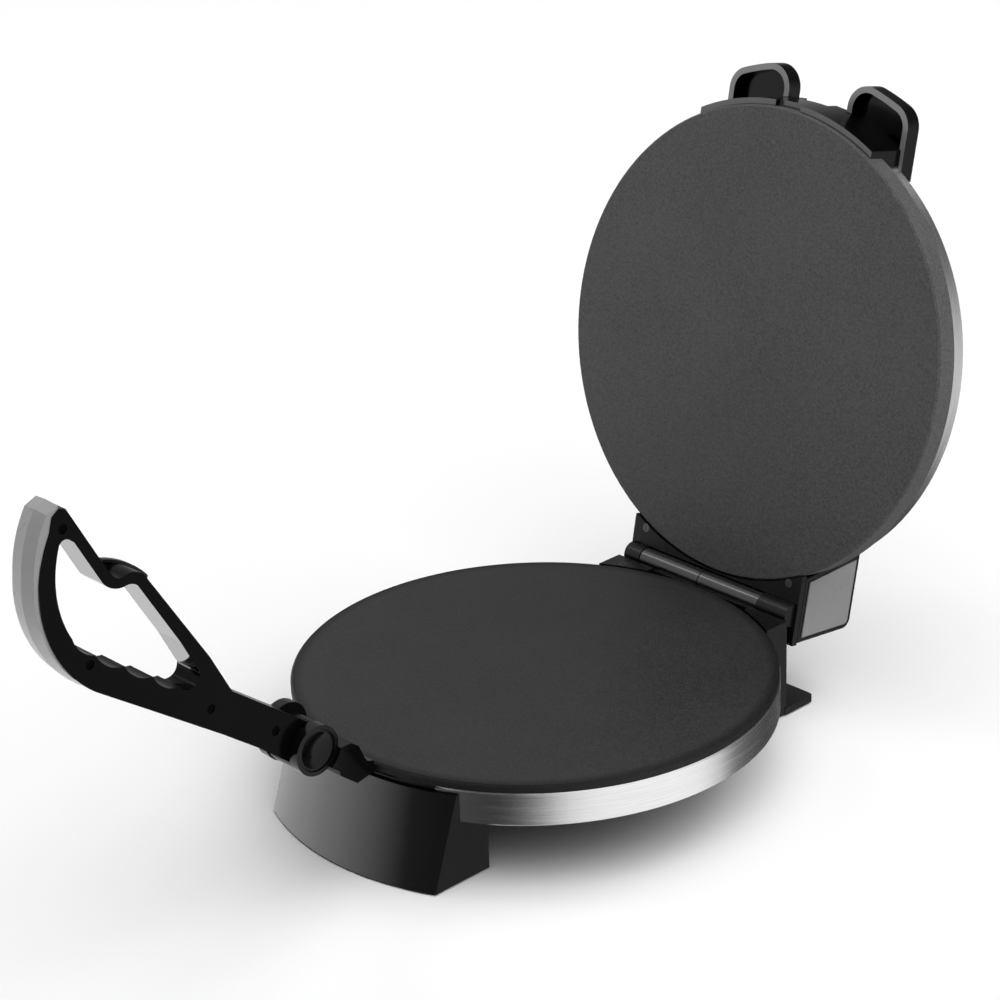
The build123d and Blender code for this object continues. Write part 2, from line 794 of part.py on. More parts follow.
# --- hinge barrels on the base -------------------------------------------------------------------
def hinge_barrel(left, right):
    """A barrel on the hinge pin with the tab that stands it off the rear foot."""
    with BuildPart() as barrel:
        with BuildSketch(base_side(left)):
            with Locations((hinge_y, hinge_z)):
                Circle(barrel_radius)
            with BuildLine():
                Polyline(
                    (rear_foot_face_y, barrel_tab_bottom_z),
                    (hinge_y, barrel_tab_bottom_z),
                    (hinge_y, barrel_tab_top_z),
                    (rear_foot_face_y, barrel_tab_top_z),
                    close=True,
                )
            make_face()
            with Locations((hinge_y, hinge_z)):
                Circle(pin_radius + running_fit, mode=Mode.SUBTRACT)
        extrude(amount=right - left)
    return barrel


save(hinge_barrel(barrel_left_end, barrel_split - barrel_ring / 2), "hinge_barrel_left")
save(hinge_barrel(barrel_split + barrel_ring / 2, barrel_right_end), "hinge_barrel_right")

with BuildPart() as hinge_pin:
    with BuildSketch(base_side(pin_left_end)):
        with Locations((hinge_y, hinge_z)):
            Circle(pin_radius)
    extrude(amount=pin_right_end - pin_left_end)
save(hinge_pin, "hinge_pin")

# --- bracket of the lever ------------------------------------------------------------------------
def from_pivot(spot):
    """A spot given from the lever pivot, as y and z of the base."""
    return (pivot_y + spot[0], pivot_z + spot[1])


with BuildPart() as pivot_bracket:
    with BuildSketch(base_side(-ear_disc_outer)):
        with Locations((pivot_y, pivot_z)):
            Circle(ear_disc_radius)
    extrude(amount=2 * ear_disc_outer)
    with BuildSketch(base_side(-ear_disc_outer)):
        with Locations((pivot_y + shoulder_back, pivot_z + shoulder_rise)):
            Circle(shoulder_radius)
    extrude(amount=ear_disc_outer - ear_disc_inner)
    with BuildPart(mode=Mode.PRIVATE) as neck:
        with BuildSketch(base_side(-neck_half)):
            with BuildLine():
                Polyline(
                    from_pivot(neck_chin),
                    from_pivot(neck_throat),
                    from_pivot(neck_step),
                    from_pivot(neck_foot),
                    (neck_heel_y, root_top_z),
                    (neck_back_y, root_top_z),
                    (neck_back_y, plate_top_z + neck_ledge),
                    from_pivot(neck_saddle),
                    from_pivot(neck_crown),
                    from_pivot(neck_shoulder),
                    from_pivot(neck_top),
                    from_pivot(neck_brow),
                    close=True,
                )
            make_face()
        extrude(amount=2 * neck_half)
        # the rings of the ears stand clear of the wider neck
        for side in (-1, 1):
            with BuildSketch(base_side(side * ear_disc_outer)):
                with Locations((pivot_y, pivot_z)):
                    Circle(ear_disc_radius)
            extrude(amount=side * neck_half, mode=Mode.SUBTRACT)
    add(neck.part)
    # the root goes in through the band and the drum wall
    with BuildSketch(base_side(-root_half)):
        with BuildLine():
            Polyline(
                (root_nose_y, root_top_z),
                (root_front_y, root_top_z - root_nose),
                (root_front_y, root_bottom_z),
                (root_back_y, root_bottom_z),
                (root_back_y, root_top_z),
                (neck_back_y, root_top_z),
                (neck_back_y, root_top_z + root_nose),
                (root_nose_y, root_top_z + root_nose),
                close=True,
            )
        make_face()
    extrude(amount=2 * root_half)
    # slot of the lever's round end
    with BuildSketch(base_side(-ear_disc_inner)):
        with Locations((pivot_y, pivot_z)):
            Circle(slot_radius)
    extrude(amount=2 * ear_disc_inner, mode=Mode.SUBTRACT)
    # pin bore and the recesses in the outer faces
    with BuildSketch(base_side(-ear_disc_outer)):
        with Locations((pivot_y, pivot_z)):
            Circle(pivot_pin_radius)
    extrude(amount=2 * ear_disc_outer, mode=Mode.SUBTRACT)
    for side in (-1, 1):
        with BuildSketch(base_side(side * ear_disc_outer)):
            with Locations((pivot_y, pivot_z)):
                Circle(ear_disc_recess)
        extrude(amount=-side * ear_disc_recess_depth, mode=Mode.SUBTRACT)
save(pivot_bracket, "pivot_bracket")

cap_seat = ear_disc_outer - ear_disc_recess_depth
cap_face = cap_seat + cap_thickness
with BuildPart() as pivot_pin:
    with BuildSketch(base_side(-cap_seat)):
        with Locations((pivot_y, pivot_z)):
            Circle(pivot_pin_radius)
    extrude(amount=2 * cap_seat)
save(pivot_pin, "lever_pivot_pin")


dish_radius = cap_radius - cap_rim
dish_ball = (dish_radius**2 + cap_dish_depth**2) / (2 * cap_dish_depth)
with BuildPart() as right_cap:
    with BuildSketch(base_side(cap_seat)):
        with Locations((pivot_y, pivot_z)):
            Circle(cap_radius)
    extrude(amount=cap_thickness)
    with Locations((cap_face - cap_dish_depth + dish_ball, pivot_y, pivot_z)):
        Sphere(dish_ball, mode=Mode.SUBTRACT)
save(right_cap, "pivot_cap_right")

with BuildPart() as left_cap:
    mirror(right_cap.part, about=Plane.YZ)
save(left_cap, "pivot_cap_left")

# =================================================================================================
# Lid (built in its open place)
# =================================================================================================
lid_post_joint_n = shell_top_n - band_sheet
upper_back_n = upper_plate_face_n + plate_thickness
upper_reflector_n = upper_back_n + upper_reflector_lift
with BuildPart() as upper_plate:
    with BuildSketch(lid_side(0)):
        with BuildLine():
            Polyline(
                (0, upper_plate_face_n),
                (upper_plate_radius - plate_edge_radius, upper_plate_face_n),
                (upper_plate_radius, upper_plate_face_n + plate_edge_radius),
                (upper_plate_radius, upper_plate_back_n),
                (lip_inner - band_lip, upper_plate_back_n),
                (lip_inner - band_lip, upper_plate_back_n - band_lip),
                (lip_inner, upper_plate_back_n - band_lip),
                (lip_inner, upper_back_n),
                (0, upper_back_n),
                close=True,
            )
        make_face()
    revolve(axis=Axis(lid_plane.origin, lid_plane.z_dir))
    with BuildSketch(lid_plane.offset(upper_back_n)):
        with PolarLocations(post_ring, 4, 45):
            Circle(post_shoulder_radius)
    extrude(amount=upper_reflector_n - upper_back_n)
    with BuildSketch(lid_plane.offset(upper_reflector_n)):
        with PolarLocations(post_ring, 4, 45):
            Circle(post_radius)
    extrude(amount=lid_post_joint_n - upper_reflector_n)
    with BuildSketch(lid_plane.offset(upper_reflector_n)):
        with PolarLocations(post_ring, 4, 45):
            Circle(post_screw_radius + running_fit)
    extrude(amount=lid_post_joint_n, mode=Mode.SUBTRACT)
save(upper_plate, "upper_hot_plate")

upper_tube_n = upper_back_n + element_tube_radius - element_bed
save(heating_element(lid_plane, upper_tube_n, 1), "upper_heating_element")
save(element_clamps(lid_plane, upper_back_n, 1), "upper_element_clamps")
save(thermal_fuse(lid_plane, upper_back_n, 1), "upper_thermal_fuse")

with BuildPart() as upper_reflector:
    with BuildSketch(lid_plane.offset(upper_reflector_n)):
        Circle(reflector_radius)
        with PolarLocations(post_ring, 4, 45):
            Circle(post_radius + slip_gap, mode=Mode.SUBTRACT)
    extrude(amount=reflector_sheet)
save(upper_reflector, "upper_reflector")

shell_inner = shell_radius - band_sheet
with BuildPart() as lid_shell:
    with BuildSketch(lid_side(0)):
        with BuildLine():
            Polyline(
                (0, shell_top_n),
                (shell_radius - shell_edge_radius, shell_top_n),
                (shell_radius, shell_top_n - shell_edge_radius),
                (shell_radius, upper_plate_back_n),
                (shell_inner, upper_plate_back_n),
                (shell_inner, shell_top_n - shell_edge_radius),
                (shell_inner - shell_edge_radius, shell_top_n - band_sheet),
                (0, shell_top_n - band_sheet),
                close=True,
            )
        make_face()
    revolve(axis=Axis(lid_plane.origin, lid_plane.z_dir))
    with BuildSketch(lid_plane.offset(shell_top_n)):
        with PolarLocations(post_ring, 4, 45):
            Circle(post_screw_radius + screw_fit)
    extrude(amount=-2 * band_sheet, mode=Mode.SUBTRACT)
save(lid_shell, "lid_steel_shell")

with BuildPart() as lid_screws:
    with BuildSketch(lid_plane.offset(shell_top_n)):
        with PolarLocations(post_ring, 4, 45):
            Circle(post_screw_radius)
    extrude(amount=upper_reflector_n - shell_top_n)
    with BuildSketch(lid_plane.offset(shell_top_n)):
        with PolarLocations(post_ring, 4, 45):
            Circle(post_screw_head_radius)
    extrude(amount=post_screw_head_height)
    with BuildSketch(lid_plane.offset(shell_top_n + post_screw_head_height / 2)):
        with PolarLocations(post_ring, 4, 45):
            screw_cross(post_screw_head_radius)
    extrude(amount=post_screw_head_height, mode=Mode.SUBTRACT)
save(lid_screws, "lid_shell_screws")

# --- front housing with its two thumb tabs --------------------------------------------------------
front_mid_y = (front_back_y - front_wall_outer) / 2
front_reach = front_wall_outer + front_back_y
shell_clear = shell_radius + slip_gap
ear_mid = (ear_inner + ear_outer) / 2
ear_width = ear_outer - ear_inner
with BuildPart() as front_housing:
    with BuildSketch(lid_plane.offset(front_lip_n)):
        Circle(front_wall_outer)
        Circle(front_wall_inner, mode=Mode.SUBTRACT)
        with Locations((0, -front_wall_outer)):
            Rectangle(2 * front_housing_half, 2 * front_reach, mode=Mode.INTERSECT)
    extrude(amount=shell_top_n - front_lip_n)
    with BuildSketch(lid_plane.offset(front_step_n)):
        Circle(front_wall_outer)
        Circle(shell_clear, mode=Mode.SUBTRACT)
        with Locations((0, -front_wall_outer)):
            Rectangle(2 * front_housing_half, 2 * front_reach, mode=Mode.INTERSECT)
    extrude(amount=shell_top_n - front_step_n)
    with BuildSketch(lid_plane.offset(shell_top_n)):
        Circle(front_wall_outer)
        with Locations((0, -front_wall_outer)):
            Rectangle(2 * front_housing_half, 2 * front_reach, mode=Mode.INTERSECT)
    extrude(amount=front_top_n - shell_top_n)
    # notch in the lower edge and the sloping channel for the lever arm
    with BuildSketch(lid_plane.offset(front_lip_n)):
        with Locations((0, -front_wall_outer)):
            Rectangle(2 * front_notch_half, 4 * housing_wall)
    extrude(amount=front_notch_height, mode=Mode.SUBTRACT)
    with BuildSketch(lid_side(-arm_channel_half)):
        with BuildLine():
            Polyline(
                (-front_wall_outer - arm_channel_out, front_top_n - arm_channel_depth),
                (-front_wall_outer + arm_channel_run, front_top_n + body_gap),
                (-front_wall_outer - arm_channel_out, front_top_n + body_gap),
                close=True,
            )
        make_face()
    extrude(amount=2 * arm_channel_half, mode=Mode.SUBTRACT)
save(front_housing, "lid_front_housing")


# --- thumb tabs on the front housing: a deck with a lip turned down round it ------------------------
def tab_outline(reach, width, corner):
    with BuildSketch(lid_plane.offset(ear_lip_n)) as outline:
        Circle(reach)
        with Locations((ear_mid, -front_wall_outer)):
            Rectangle(width, 2 * front_reach, mode=Mode.INTERSECT)
        fillet(outline.vertices().sort_by(Axis.Y)[:2], corner)
    return outline.sketch


with BuildPart() as right_tab:
    extrude(tab_outline(ear_radius, ear_width, ear_corner), amount=ear_top_n - ear_lip_n)
    hollow = tab_outline(ear_radius - ear_lip, ear_width - 2 * ear_lip, ear_corner - ear_lip)
    extrude(hollow, amount=ear_under_n - ear_lip_n, mode=Mode.SUBTRACT)
    # the wall at the back of the hollow, beside the housing and over its deck
    with BuildSketch(lid_plane.offset(ear_lip_n)):
        Circle(front_wall_outer)
        with Locations((ear_mid, -front_wall_outer)):
            Rectangle(ear_width, 2 * front_reach, mode=Mode.INTERSECT)
        with Locations((ear_mid, (front_back_y - shell_radius) / 2)):
            Rectangle(ear_width - 4 * ear_lip, front_reach - 3 * ear_lip, mode=Mode.SUBTRACT)
    extrude(amount=ear_under_n - ear_lip_n)
    with BuildSketch(lid_plane.offset(ear_lip_n)):
        Circle(front_wall_outer + slip_gap)
        with Locations((0, -front_wall_outer)):
            Rectangle(
                2 * (front_housing_half + slip_gap), 2 * front_reach, mode=Mode.INTERSECT
            )
    extrude(amount=front_top_n - ear_lip_n, mode=Mode.SUBTRACT)
save(right_tab, "lid_tab_right")

with BuildPart() as left_tab:
    mirror(right_tab.part, about=Plane.YZ)
save(left_tab, "lid_tab_left")

# --- hinge bracket of the lid -------------------------------------------------------------------
bracket_mid = (bracket_front + bracket_rear) / 2
bracket_depth = bracket_rear - bracket_front
upper_clear = upper_plate_radius + slip_gap
knuckle_inner_left = barrel_left_end - knuckle_gap
knuckle_inner_right = barrel_right_end + knuckle_gap
channel_inner_depth = 2 * channel_radius + 2 * housing_wall
with BuildPart() as lid_bracket:
    with BuildSketch(lid_plane.offset(bracket_bottom_n)):
        with Locations((0, bracket_mid)):
            Rectangle(2 * bracket_half, bracket_depth)
    extrude(amount=bracket_top_n - bracket_bottom_n)
    with BuildSketch(lid_plane.offset(bracket_bottom_n)):
        with Locations((0, hinge_y)):
            Rectangle(2 * knuckle_right, channel_inner_depth)
    extrude(amount=channel_roof_n - bracket_bottom_n)
    with BuildSketch(lid_side(knuckle_left)):
        with Locations((hinge_y, 0)):
            Circle(knuckle_radius)
    extrude(amount=knuckle_right - knuckle_left)
    # room for the barrels
    with BuildSketch(lid_side(knuckle_inner_left)):
        with Locations((hinge_y, 0)):
            Circle(channel_radius)
    extrude(amount=knuckle_inner_right - knuckle_inner_left, mode=Mode.SUBTRACT)
    # the disc of the upper plate, and above it the curved wall of the rear housing
    with BuildSketch(lid_plane):
        Circle(upper_clear)
    extrude(amount=channel_roof_n + 1, mode=Mode.SUBTRACT)
    with BuildSketch(lid_plane.offset(bracket_top_n)):
        Circle(upper_clear + housing_wall + slip_gap)
    extrude(amount=channel_roof_n, mode=Mode.SUBTRACT)
    # pin bore
    with BuildSketch(lid_side(pin_left_end - screw_fit)):
        with Locations((hinge_y, 0)):
            Circle(pin_radius + running_fit)
    extrude(amount=pin_right_end - pin_left_end + 2 * screw_fit, mode=Mode.SUBTRACT)
    with BuildSketch(lid_plane.offset(bracket_bottom_n)):
        with Locations((-lid_screw_x, lid_screw_y), (lid_screw_x, lid_screw_y)):
            Circle(hinge_screw_radius + screw_fit)
    extrude(amount=bracket_top_n, mode=Mode.SUBTRACT)
    with BuildSketch(lid_plane.offset(bracket_bottom_n)):
        with Locations((-lid_screw_x, lid_screw_y), (lid_screw_x, lid_screw_y)):
            Circle(hinge_screw_head + slip_gap)
    extrude(amount=hinge_screw_sink, mode=Mode.SUBTRACT)
save(lid_bracket, "lid_hinge_bracket")

lid_screw_plane = lid_plane.offset(bracket_bottom_n + hinge_screw_sink)
save(sunk_screws(lid_screw_plane, -1, lid_screw_x, lid_screw_y), "lid_hinge_screws")


# --- rear housing -------------------------------------------------------------------------------
def rear_profile():
    """Outline of the rear housing: y from the lid's middle, n away from the plate."""
    crown_n = rear_housing_top_n - rear_crown_drop
    bulge_n = rear_housing_top_n - rear_crown_drop / 3
    with BuildLine() as outline:
        front_low = (hinge_y - rear_low_front, bracket_top_n)
        front_high = (hinge_y - rear_high_front, rear_housing_top_n)
        top_rear = (hinge_y + rear_high_back, rear_housing_top_n)
        rear_high = (hinge_y + rear_crown_back, crown_n)
        rear_low = (hinge_y + rear_low_back, bracket_top_n)
        Polyline(rear_low, front_low, front_high, top_rear)
        ThreePointArc(top_rear, (hinge_y + rear_crown_back - rear_crown_bulge, bulge_n), rear_high)
        Line(rear_high, rear_low)
    make_face(outline.edges())


rear_hollow_width = 2 * (rear_housing_half - housing_side_wall)
with BuildPart() as rear_housing:
    with BuildSketch(lid_side(-rear_housing_half)):
        rear_profile()
    extrude(amount=2 * rear_housing_half)
    with BuildSketch(lid_plane):
        Circle(upper_clear)
    extrude(amount=upper_plate_back_n + slip_gap, mode=Mode.SUBTRACT)
    with BuildSketch(lid_plane):
        Circle(shell_clear)
    extrude(amount=shell_top_n, mode=Mode.SUBTRACT)
    # hollow behind the plate and over the lid
    with BuildSketch(lid_plane.offset(bracket_top_n)):
        with Locations((0, hinge_y + (rear_hollow_back - rear_hollow_front) / 2)):
            Rectangle(rear_hollow_width, rear_hollow_front + rear_hollow_back)
        Circle(upper_clear + housing_wall, mode=Mode.SUBTRACT)
    extrude(amount=rear_hollow_height, mode=Mode.SUBTRACT)
    with BuildSketch(lid_plane.offset(bracket_top_n + rear_hollow_height)):
        with Locations((0, hinge_y + (crown_hollow_back - crown_hollow_front) / 2)):
            Rectangle(rear_hollow_width, crown_hollow_front + crown_hollow_back)
    extrude(amount=crown_hollow_height, mode=Mode.SUBTRACT)
    with BuildSketch(lid_plane.offset(bracket_top_n)):
        with Locations((-lid_screw_x, lid_screw_y), (lid_screw_x, lid_screw_y)):
            Circle(hinge_screw_radius + screw_fit)
    extrude(amount=hinge_screw_depth, mode=Mode.SUBTRACT)
save(rear_housing, "lid_rear_housing")


def rear_panel(side):
    """A satin panel let on to one end of the rear housing."""
    with BuildPart() as panel:
        with BuildSketch(lid_side(side * rear_housing_half)):
            rear_profile()
            offset(amount=-panel_border, mode=Mode.REPLACE)
        extrude(amount=side * panel_sheet)
    return panel


save(rear_panel(1), "rear_panel_right")
save(rear_panel(-1), "rear_panel_left")

with BuildPart() as lenses:
    with BuildSketch(lid_plane.offset(rear_housing_top_n)):
        with Locations((-lens_x, hinge_y - lens_inset), (lens_x, hinge_y - lens_inset)):
            Circle(lens_radius)
    extrude(amount=lens_height)
save(lenses, "indicator_lenses")

# --- spine over the lid with the boss the lever presses on ---------------------------------------
with BuildPart() as spine:
    with BuildSketch(lid_side(-spine_half)):
        with BuildLine():
            Polyline(
                (spine_front_y, shell_top_n),
                (spine_front_y, front_top_n),
                (spine_front_y + spine_slope, spine_top_n),
                (hinge_y - spine_back, spine_top_n),
                (hinge_y - spine_tail_high, spine_top_n + spine_tail_rise),
                (hinge_y - spine_tail_low, shell_top_n),
                close=True,
            )
        make_face()
    extrude(amount=2 * spine_half)
save(spine, "lid_spine")

with BuildPart() as press_boss:
    with BuildSketch(lid_plane.offset(spine_top_n)):
        with Locations((0, (boss_front_y + boss_rear_y) / 2)):
            RectangleRounded(2 * boss_half, boss_length, boss_corner)
    extrude(amount=boss_top_n - spine_top_n)
save(press_boss, "lid_press_boss")

# =================================================================================================
# Lever (built leaning forward)
# =================================================================================================
screw_spots = (tip_screw, grip_screw, root_screw, hub_screw)
nose_tip = (252.1, 26.3)
nose_under = (248.8, 23.7)
bar_top = (201.6, 26.7)
dip_top = (195.1, 26.9)
dip_upper = (190.9, 25.1)
dip_middle = (188.7, 21.1)
dip_lower = (184.1, 14.9)
dip_bottom = (176.1, 12.7)
back_knee = (103.7, 12.7)
back_root = (74.5, 15.0)
end_back = (5.0, -11.6)
end_front = (3.0, 14.4)
heel = (30.2, 23.5)
front_root = (58.5, 34.7)
front_bend = (108.3, 55.8)
crest_start = (151.2, 74.1)
crest_middle = (190.1, 78.1)
crest_end = (229.3, 60.3)
brow_middle = (238.7, 49.9)
brow_end = (245.9, 38.8)
nose_top = (251.7, 32.5)


def lever_outline(mode=Mode.ADD):
    """Outline of a half shell without its round end."""
    with BuildLine() as outline:
        Polyline(nose_tip, nose_under, bar_top, dip_top)
        ThreePointArc(dip_top, dip_upper, dip_middle)
        ThreePointArc(dip_middle, dip_lower, dip_bottom)
        Polyline(dip_bottom, back_knee, back_root, end_back, end_front)
        Polyline(end_front, heel, front_root, front_bend, crest_start)
        ThreePointArc(crest_start, crest_middle, crest_end)
        ThreePointArc(crest_end, brow_middle, brow_end)
        Polyline(brow_end, nose_top, nose_tip)
    make_face(outline.edges(), mode=mode)


grip_corner = (233.3, 32.6)
grip_under = (229.9, 31.5)
grip_dip_top = (196.6, 33.5)
grip_dip_upper = (188.7, 30.7)
grip_dip_middle = (184.0, 25.5)
grip_dip_lower = (181.7, 21.7)
grip_dip_bottom = (177.6, 19.3)
grip_back = (127.8, 20.5)
grip_root = (102.6, 22.7)
grip_end = (98.7, 29.3)
grip_top_start = (176.6, 65.9)
grip_top = (187.8, 65.5)
grip_brow = (213.7, 57.9)
grip_tip = (235.3, 39.7)
grip_tip_round = (236.3, 35.5)


def cusp(index):
    """The place where two finger scallops meet."""
    return (cusp_start[0] + index * cusp_step[0], cusp_start[1] + index * cusp_step[1])


def grip_opening():
    """The D opening, with its finger scallops along the grip."""
    pitch = sqrt(cusp_step[0] ** 2 + cusp_step[1] ** 2)
    lean = (-scallop_depth * cusp_step[1] / pitch, scallop_depth * cusp_step[0] / pitch)
    with BuildLine() as outline:
        Polyline(grip_corner, grip_under, grip_dip_top)
        ThreePointArc(grip_dip_top, grip_dip_upper, grip_dip_middle)
        ThreePointArc(grip_dip_middle, grip_dip_lower, grip_dip_bottom)
        Polyline(grip_dip_bottom, grip_back, grip_root)
        ThreePointArc(grip_root, grip_end, cusp(0))
        for index in range(cusp_count - 1):
            middle = cusp(index + 0.5)
            ThreePointArc(
                cusp(index), (middle[0] + lean[0], middle[1] + lean[1]), cusp(index + 1)
            )
        ThreePointArc(cusp(cusp_count - 1), grip_top_start, grip_top)
        ThreePointArc(grip_top, grip_brow, grip_tip)
        ThreePointArc(grip_tip, grip_tip_round, grip_corner)
    make_face(outline.edges(), mode=Mode.SUBTRACT)


def lever_silhouette():
    """A half shell seen from its side: outline, round end and opening."""
    lever_outline()
    Circle(lever_end_radius)
    grip_opening()


def lever_shell(side):
    """One half of the lever: a tray with its open side on the middle plane."""
    face = side * lever_half_width
    with BuildPart() as half:
        with BuildSketch(lever_side(0)):
            lever_silhouette()
        extrude(amount=face)
        with BuildSketch(lever_side(0)):
            lever_silhouette()
            offset(amount=-shell_wall, mode=Mode.REPLACE)
        extrude(amount=side * (lever_half_width - shell_wall), mode=Mode.SUBTRACT)
        with BuildSketch(lever_side(0)):
            Circle(hub_boss_radius)
            with Locations(*screw_spots):
                Circle(lever_boss_radius)
        extrude(amount=face)
        # nothing of the bosses may stand out of the outline or into the opening
        with BuildSketch(lever_side(0)):
            lever_silhouette()
        extrude(amount=face, mode=Mode.INTERSECT)
        with BuildSketch(lever_side(0)):
            Circle(bush_radius)
        extrude(amount=face, mode=Mode.SUBTRACT)
        with BuildSketch(lever_side(face)):
            with Locations(*screw_spots):
                Circle(lever_screw_hole)
        extrude(amount=-side * lever_screw_recess, mode=Mode.SUBTRACT)
    return half


save(lever_shell(1), "lever_shell_right")
save(lever_shell(-1), "lever_shell_left")

with BuildPart() as lever_screws:
    with BuildSketch(lever_side(lever_half_width - lever_screw_recess)):
        with Locations(*screw_spots):
            Circle(lever_screw_head)
    extrude(amount=lever_screw_recess / 2)
    with BuildSketch(lever_side(lever_half_width - lever_screw_recess * 0.75)):
        with Locations(*screw_spots):
            screw_cross(lever_screw_head)
    extrude(amount=lever_screw_recess, mode=Mode.SUBTRACT)
save(lever_screws, "lever_screws")

strip_tail = (153.6, 75.2)
strip_tail_inner = (156.1, 70.3)
strip_inner = (204.1, 60.3)
strip_tip_inner = (250.6, 27.8)
strip_tip = (255.0, 25.7)
strip_shoulder = (256.4, 33.8)
strip_brow = (244.0, 52.6)
strip_elbow = (232.5, 62.9)
strip_crest = (194.9, 80.2)
strip_slant = 0.7


def strip_outline(drop):
    """Outline of the back strip; drop is how far its outer edge lies under the crest."""
    slant = strip_slant * drop
    with BuildLine() as outline:
        tip = (strip_tip[0] - drop, strip_tip[1])
        shoulder = (strip_shoulder[0] - drop, strip_shoulder[1])
        brow = (strip_brow[0] - slant, strip_brow[1] - slant)
        elbow = (strip_elbow[0] - slant, strip_elbow[1] - slant)
        crest = (strip_crest[0], strip_crest[1] - drop)
        tail = (strip_tail[0] + slant, strip_tail[1] - slant)
        Polyline(tail, strip_tail_inner, strip_inner, strip_tip_inner, tip, shoulder)
        ThreePointArc(shoulder, brow, elbow)
        ThreePointArc(elbow, crest, tail)
    make_face(outline.edges())


with BuildPart() as back_strip:
    with BuildSketch(lever_side(0)):
        strip_outline(0)
    with BuildSketch(lever_side(strip_half)):
        strip_outline(strip_drop)
    loft(ruled=True)
    mirror(about=Plane.YZ)
    with BuildSketch(lever_side(-lever_half_width)):
        lever_outline()
    extrude(amount=2 * lever_half_width, mode=Mode.SUBTRACT)
save(back_strip, "lever_back_strip")

cam_top = (193.3, 19.9)
cam_belly = (180.1, 11.2)
cam_low = (162.3, 6.1)
cam_heel = (156.1, 12.7)
cam_rib = (185.3, 16.3)
cam_rib_length = 14.0
hollow_low = (163.0, 8.2)
hollow_belly = (179.4, 12.9)
hollow_top = (191.6, 20.6)
hollow_crest = (192.6, 24.5)
hollow_back = (187.0, 24.5)
hollow_floor = (170.0, 14.5)
hollow_tail = (160.0, 13.5)


def cam_outline():
    """Outline of the press cam, from the dip in the lever's back to its rolling edge."""
    with BuildLine() as outline:
        Polyline(dip_top, cam_top)
        ThreePointArc(cam_top, cam_belly, cam_low)
        Polyline(cam_low, cam_heel, dip_bottom)
        ThreePointArc(dip_bottom, dip_lower, dip_middle)
        ThreePointArc(dip_middle, dip_upper, dip_top)
    make_face(outline.edges())


with BuildPart() as press_cam:
    with BuildSketch(lever_side(-lever_half_width)):
        cam_outline()
    extrude(amount=cam_depth)
    # a tray with a rolling edge; a rib crosses it
    with BuildSketch(lever_side(cam_web - lever_half_width)):
        with BuildLine():
            ThreePointArc(hollow_low, hollow_belly, hollow_top)
            Polyline(hollow_top, hollow_crest, hollow_back, hollow_floor, hollow_tail, hollow_low)
        make_face()
        with Locations(cam_rib):
            Rectangle(cam_rib_length, cam_web, rotation=lever_lean_angle, mode=Mode.SUBTRACT)
    extrude(amount=cam_depth, mode=Mode.SUBTRACT)
save(press_cam, "lever_press_cam")

with BuildPart() as pivot_bush:
    with BuildSketch(lever_side(-lever_half_width)):
        Circle(bush_radius)
        Circle(pivot_pin_radius + running_fit, mode=Mode.SUBTRACT)
    extrude(amount=2 * lever_half_width)
save(pivot_bush, "lever_pivot_bush")
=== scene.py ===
import math

import bmesh
import bpy
from mathutils import Matrix, Vector

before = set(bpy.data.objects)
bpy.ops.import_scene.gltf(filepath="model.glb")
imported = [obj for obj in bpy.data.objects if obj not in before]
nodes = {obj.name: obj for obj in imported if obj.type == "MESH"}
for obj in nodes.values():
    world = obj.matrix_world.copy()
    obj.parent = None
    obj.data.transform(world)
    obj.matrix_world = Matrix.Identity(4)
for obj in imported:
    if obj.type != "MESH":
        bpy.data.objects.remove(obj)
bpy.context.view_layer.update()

# Sizes shared with the part's source, in metres and degrees.
HINGE = Vector((0, 0.1584, 0.0659))
OPEN_ANGLE = math.radians(102.5)
GRIP_REAR = -0.262
TAB_RIM = 0.034

# The camera: its place in metres, then its angles and the lens.
CAMERA_PLACE = (1.2591, -1.2051, 0.9604)
CAMERA_AZIMUTH = math.radians(46.84)
CAMERA_ELEVATION = math.radians(24.18)
CAMERA_ROLL = math.radians(-1.90)
SENSOR_WIDTH = 36
LENS = 115.2


# --- camera ------------------------------------------------------------------
def make_camera():
    azimuth, elevation, roll = CAMERA_AZIMUTH, CAMERA_ELEVATION, CAMERA_ROLL
    back = Vector(
        (
            math.sin(azimuth) * math.cos(elevation),
            -math.cos(azimuth) * math.cos(elevation),
            math.sin(elevation),
        )
    )
    level = Vector((math.cos(azimuth), math.sin(azimuth), 0))
    upright = back.cross(level)
    right = math.cos(roll) * level + math.sin(roll) * upright
    up = -math.sin(roll) * level + math.cos(roll) * upright
    camera = bpy.data.objects.new("camera", bpy.data.cameras.new("camera"))
    bpy.context.scene.collection.objects.link(camera)
    turn = Matrix((right, up, back)).transposed().to_4x4()
    camera.matrix_world = Matrix.Translation(CAMERA_PLACE) @ turn
    camera.data.sensor_width = SENSOR_WIDTH
    camera.data.lens = LENS
    camera.data.clip_start = 0.05
    camera.data.clip_end = 60
    bpy.context.scene.camera = camera


make_camera()


# --- node helpers --------------------------------------------------------------
def new_material(name):
    material = bpy.data.materials.new(name)
    material.use_nodes = True
    return material, material.node_tree, material.node_tree.nodes["Principled BSDF"]


def add_node(tree, kind, settings=None, **inputs):
    node = tree.nodes.new("ShaderNode" + kind)
    for key, value in (settings or {}).items():
        setattr(node, key, value)
    for key, value in inputs.items():
        socket = node.inputs[key.replace("_", " ")]
        if isinstance(value, bpy.types.NodeSocket):
            tree.links.new(value, socket)
        else:
            socket.default_value = value
    return node


def math_node(tree, operation, first, second=0.0):
    node = tree.nodes.new("ShaderNodeMath")
    node.operation = operation
    for socket, value in zip(node.inputs, (first, second)):
        if isinstance(value, bpy.types.NodeSocket):
            tree.links.new(value, socket)
        else:
            socket.default_value = value
    return node.outputs[0]


